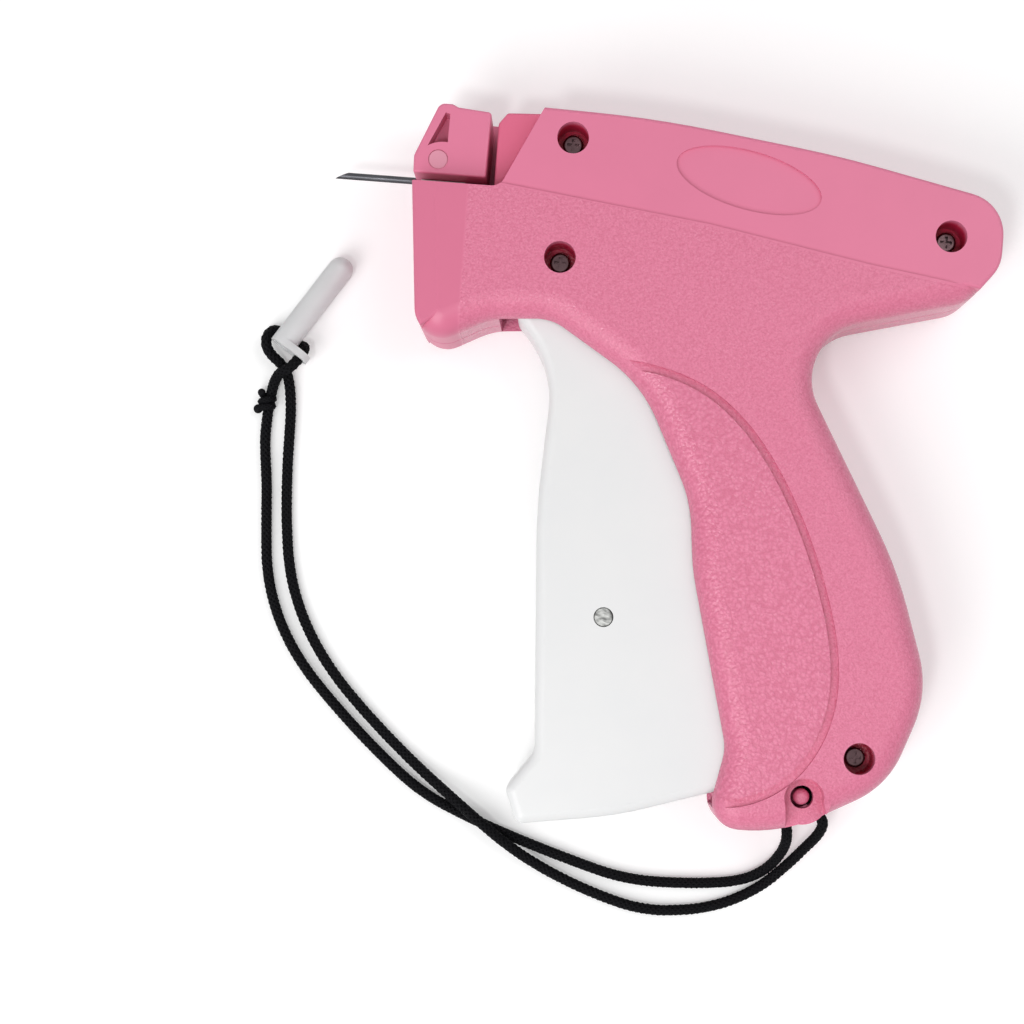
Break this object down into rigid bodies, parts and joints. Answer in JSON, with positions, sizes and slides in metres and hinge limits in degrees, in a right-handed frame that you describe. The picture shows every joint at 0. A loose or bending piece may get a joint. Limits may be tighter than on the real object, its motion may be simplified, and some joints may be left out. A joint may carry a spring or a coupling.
{
  "type": "fabric tagging tool",
  "caption": "Pistol-grip fabric tagging tool with a hollow needle, squeezed trigger, linked ejector and feed wheel inside a two-part shell, and a looped cord holding the needle's cap.",
  "frame": {"origin": "middle of the tool's base: centre of its outline, on the surface it lies on", "axes": "+X back along the needle axis, from the needle's point to the tail; +Y up, from the butt to the head; +Z out of the left side, which faces up as the tool lies on its right side"},
  "size_m": [0.1624, 0.1743, 0.027],
  "materials": {
    "pink_plastic": "pink, moulded, finely grained below the smooth upper band",
    "white_plastic": "smooth white moulding",
    "inner_plastic": "natural acetal",
    "pin_plastic": "slightly paler pink",
    "dark_steel": "dark blued steel",
    "bright_steel": "bright steel",
    "clear_plastic": "milky, translucent",
    "cord": "black braided cord"
  },
  "bodies": {
    "body": {"left_housing": "pink_plastic", "right_housing": "pink_plastic", "nose_block": "pink_plastic", "clip_guide": "pink_plastic", "needle": "dark_steel", "needle_base": "inner_plastic", "knife": "dark_steel", "needle_lock_pin": "pin_plastic", "feed_wheel_shaft": "bright_steel", "check_leaf": "bright_steel", "lever_pivot_pin": "bright_steel", "return_spring": "bright_steel", "housing_screws": "dark_steel", "needle_cap": "clear_plastic", "lanyard_cord": "cord", "lanyard_knot": "cord"},
    "trigger": {"trigger": "white_plastic", "trigger_link_pin": "bright_steel", "feed_pawl": "bright_steel"},
    "link": {"link_plates": "bright_steel"},
    "lever": {"drive_lever": "inner_plastic", "lever_foot_pin": "bright_steel"},
    "slide": {"ejector_slide": "inner_plastic", "ejector_rod": "bright_steel"},
    "wheel": {"feed_wheel": "inner_plastic"},
    "lock": {"needle_lock": "inner_plastic"}
  },
  "joints": [
    {"name": "trigger_pivot", "type": "hinge", "parent": "body", "child": "trigger", "pos_m": [-0.02175, 0.04475, 0.0135], "axis": [0, 0, 1], "range_deg": [0, 18], "stiffness_Nm_per_rad": 1.2, "springref_deg": -11.46},
    {"name": "link_pivot", "type": "hinge", "parent": "trigger", "child": "link", "pos_m": [-0.00665, -0.03115, 0.0135], "axis": [0, 0, 1], "range_deg": [-22.6, 0]},
    {"name": "lever_pivot", "type": "hinge", "parent": "body", "child": "lever", "pos_m": [0.03125, 0.00655, 0.0135], "axis": [0, 0, 1], "range_deg": [0, 39.04], "deforming": ["return_spring"]},
    {"name": "ejector_travel", "type": "slide", "parent": "body", "child": "slide", "axis": [-1, 0, 0], "range_m": [0, 0.038]},
    {"name": "feed_turn", "type": "hinge", "parent": "body", "child": "wheel", "pos_m": [-0.03133, 0.05197, 0.0135], "axis": [0, 0, 1], "range_deg": [-36.1, 0]},
    {"name": "needle_lock_turn", "type": "hinge", "parent": "body", "child": "lock", "pos_m": [-0.04965, 0.06475, 0.0015], "axis": [0, 0, 1], "range_deg": [0, 90]}
  ],
  "couplings": [
    {"joint": "link_pivot", "follows": "trigger_pivot", "ratio": -1.25},
    {"joint": "lever_pivot", "follows": "trigger_pivot", "ratio": 2.168},
    {"joint": "ejector_travel", "follows": "trigger_pivot", "m_per_rad": 0.12095},
    {"joint": "feed_turn", "follows": "trigger_pivot", "ratio": -2}
  ]
}
